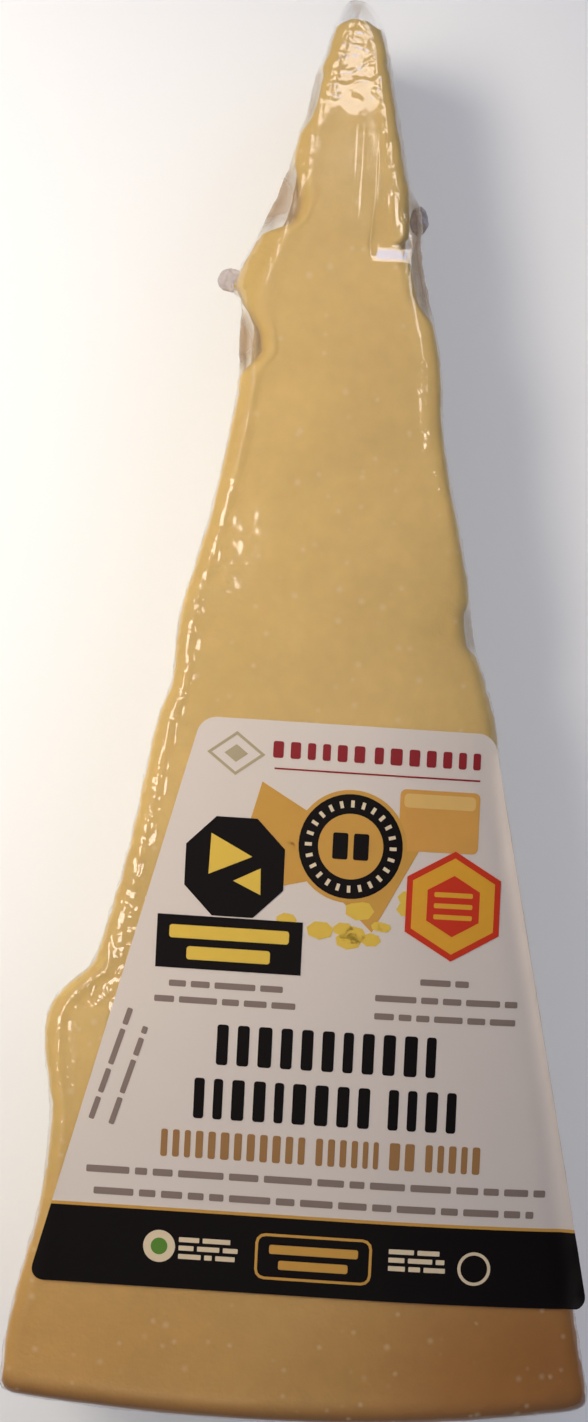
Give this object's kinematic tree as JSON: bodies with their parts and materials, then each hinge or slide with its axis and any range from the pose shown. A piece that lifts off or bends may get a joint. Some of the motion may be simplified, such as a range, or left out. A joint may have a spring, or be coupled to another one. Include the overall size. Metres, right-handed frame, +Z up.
{
  "type": "wrapped hard cheese wedge",
  "caption": "Slim wedge of hard grainy aged cheese, shrink-wrapped in clear film, with a trapezoid paper label stuck on its cut face.",
  "frame": {"origin": "on the surface the wedge rests on, under the middle of its length and width", "axes": "+Y from the rind to the thin tip, +X to the right seen from above with the tip pointing away, +Z up out of the labelled cut face"},
  "size_m": [0.0855, 0.2064, 0.0367],
  "materials": {
    "cheese": "straw-coloured hard cheese paste with small pale crystals, darker towards the rind",
    "film": "clear glossy shrink film",
    "label_paper": "coated white paper with a soft sheen",
    "label_ink": "printed ink in plain fields of black, gold, red, tan and grey"
  },
  "bodies": {
    "root": {"wrapped_wedge": "cheese", "label": "label_paper"}
  },
  "joints": []
}
